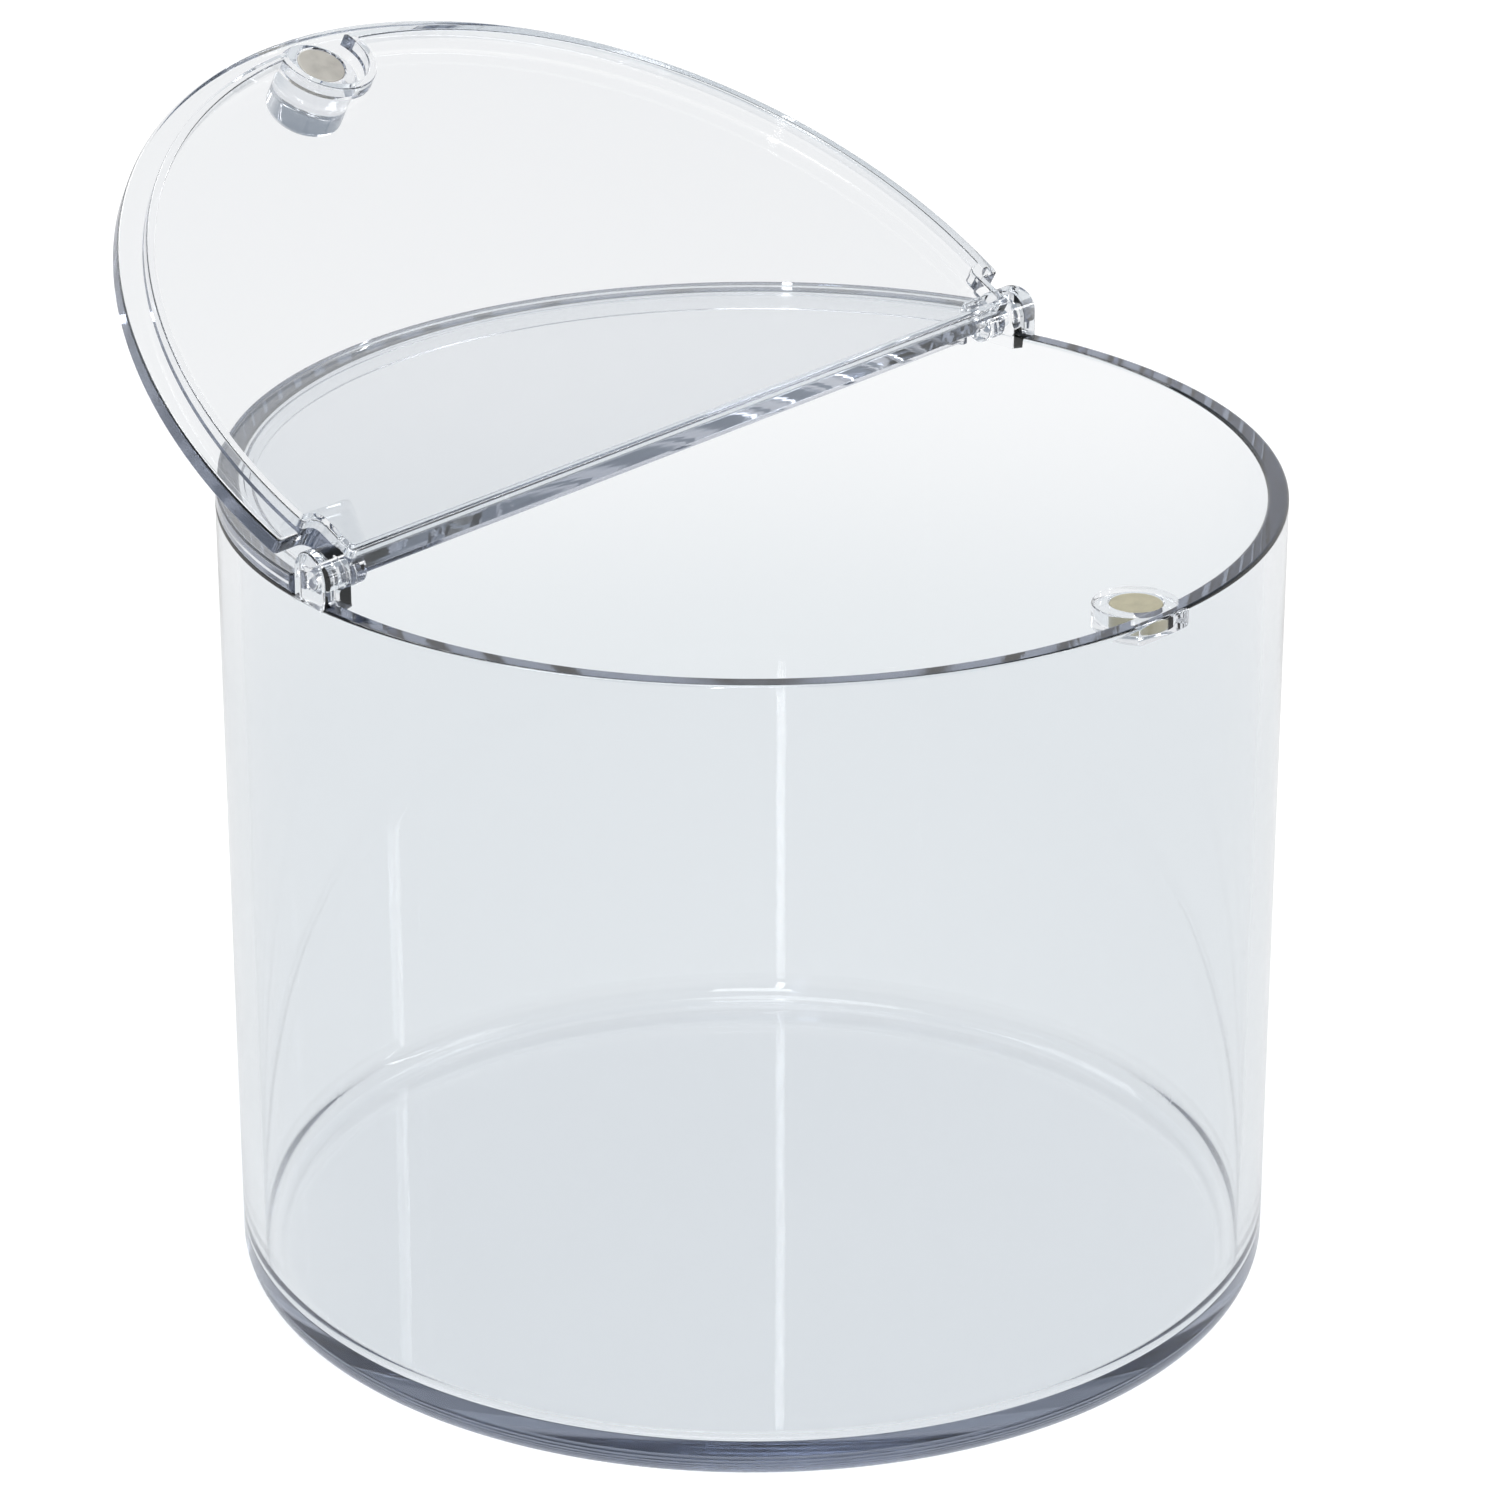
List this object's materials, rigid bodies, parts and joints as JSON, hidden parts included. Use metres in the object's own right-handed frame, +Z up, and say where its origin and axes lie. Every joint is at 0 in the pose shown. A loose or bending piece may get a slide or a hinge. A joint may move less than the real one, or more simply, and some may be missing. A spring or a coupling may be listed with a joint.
{
  "type": "countertop bin with flap lid",
  "caption": "Round clear plastic bin with a fixed rear cover and a hinged flap lid that opens for scooping and shuts on a magnetic catch.",
  "frame": {"origin": "middle of the base, where the bin stands on the table", "axes": "+Z up; -Y towards the scoop opening and the magnetic catch; X along the hinge line"},
  "size_m": [0.165, 0.1859, 0.1813],
  "materials": {
    "clear_plastic": "polished clear acrylic, faint blue-grey tint",
    "clear_plastic_cover": "polished clear acrylic, faint blue-grey tint",
    "clear_plastic_flap": "polished clear acrylic, faint blue-grey tint",
    "magnet_plating": "dull nickel plating"
  },
  "bodies": {
    "bin_body": {"bin": "clear_plastic", "rear_cover": "clear_plastic_cover", "bin_magnet": "magnet_plating"},
    "flap": {"flap_lid": "clear_plastic_flap", "lid_magnet": "magnet_plating"}
  },
  "joints": [
    {"name": "lid_hinge", "type": "hinge", "parent": "bin_body", "child": "flap", "pos_m": [0, 0.0145, 0.133], "axis": [1, 0, 0], "range_deg": [0, 152]}
  ]
}
